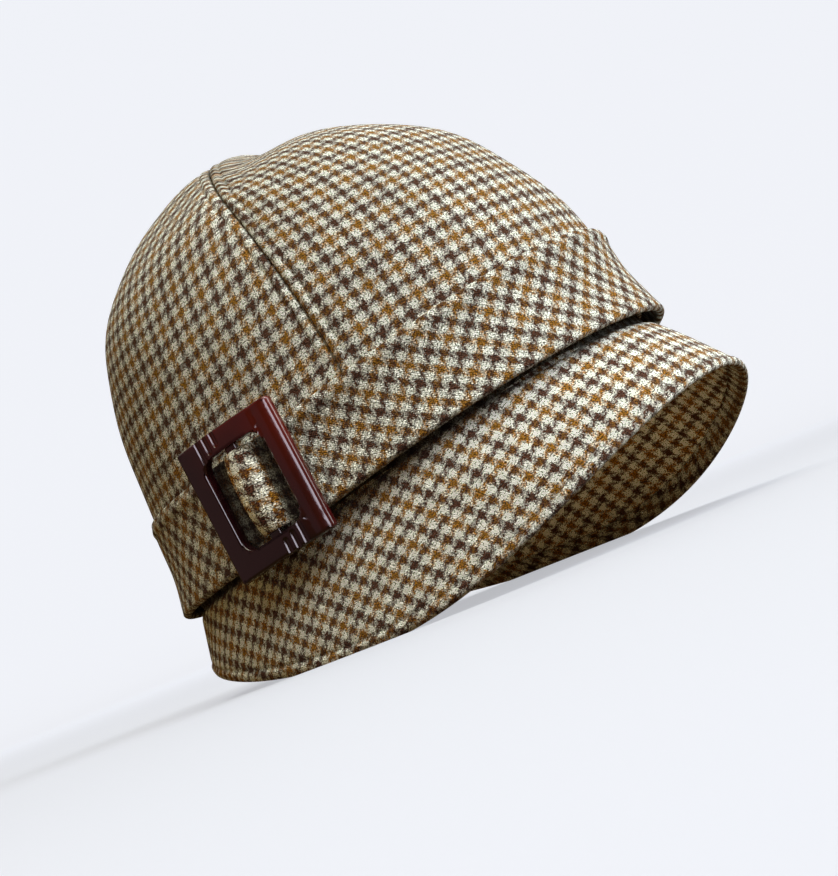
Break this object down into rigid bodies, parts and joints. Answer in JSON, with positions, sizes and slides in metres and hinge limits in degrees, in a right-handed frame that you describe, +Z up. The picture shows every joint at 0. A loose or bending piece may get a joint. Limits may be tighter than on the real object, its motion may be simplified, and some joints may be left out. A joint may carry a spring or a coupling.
{
  "type": "cloche hat",
  "caption": "Sewn wool tweed cloche hat: gored dome crown, folded band, drooping brim with under-cloth, and a bent plastic buckle with a strap tab over its bar.",
  "frame": {"origin": "the middle of the hat's box, on the surface that the brim's two low sides rest on", "axes": "+Z up as the hat lies on a table, leaned back onto its brim; -Y is the front of the hat, +Y its back, and -X the wearer's right, where the buckle is"},
  "size_m": [0.1982, 0.2352, 0.1881],
  "materials": {
    "crown_tweed": "brushed wool twill in a small four-by-four check of cream, gold ochre and dark brown",
    "band_tweed": "the same checked wool, cut on the bias and folded",
    "brim_tweed": "the same checked wool, with a rolled edge",
    "buckle_plastic": "polished dark oxblood plastic"
  },
  "bodies": {
    "root": {"crown_front_gore": "crown_tweed", "crown_right_gore": "crown_tweed", "crown_left_gore": "crown_tweed", "band": "band_tweed", "brim_outer": "brim_tweed", "brim_facing": "brim_tweed", "buckle_frame": "buckle_plastic", "buckle_tab": "band_tweed"}
  },
  "joints": []
}
